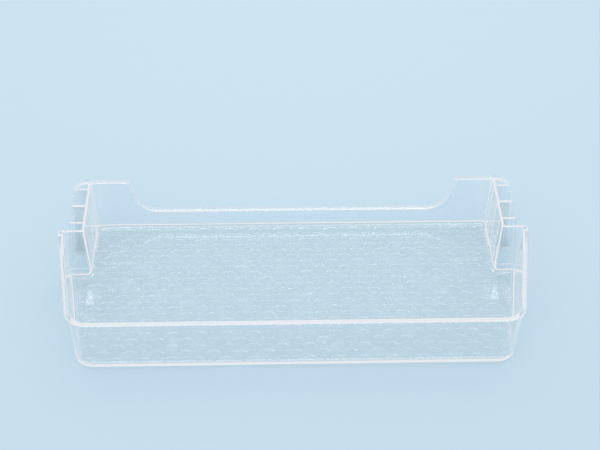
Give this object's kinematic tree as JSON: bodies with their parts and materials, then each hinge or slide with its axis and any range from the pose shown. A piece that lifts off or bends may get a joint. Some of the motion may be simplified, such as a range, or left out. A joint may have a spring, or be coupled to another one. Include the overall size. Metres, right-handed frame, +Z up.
{
  "type": "fridge door tray",
  "caption": "Clear moulded fridge door tray with a narrow rear part, eared rear wall, rolled rim and side ribs that hang on the door.",
  "frame": {"origin": "middle of the tray's box, on the plane that its skirt stands on", "axes": "+X to the right along the tray, +Y back towards the fridge door, +Z up"},
  "size_m": [0.4454, 0.1886, 0.066],
  "materials": {
    "clear_plastic": "polished clear injection-moulded styrene, with a fine wave-scale relief under the floor"
  },
  "bodies": {
    "root": {"door_tray": "clear_plastic"}
  },
  "joints": []
}
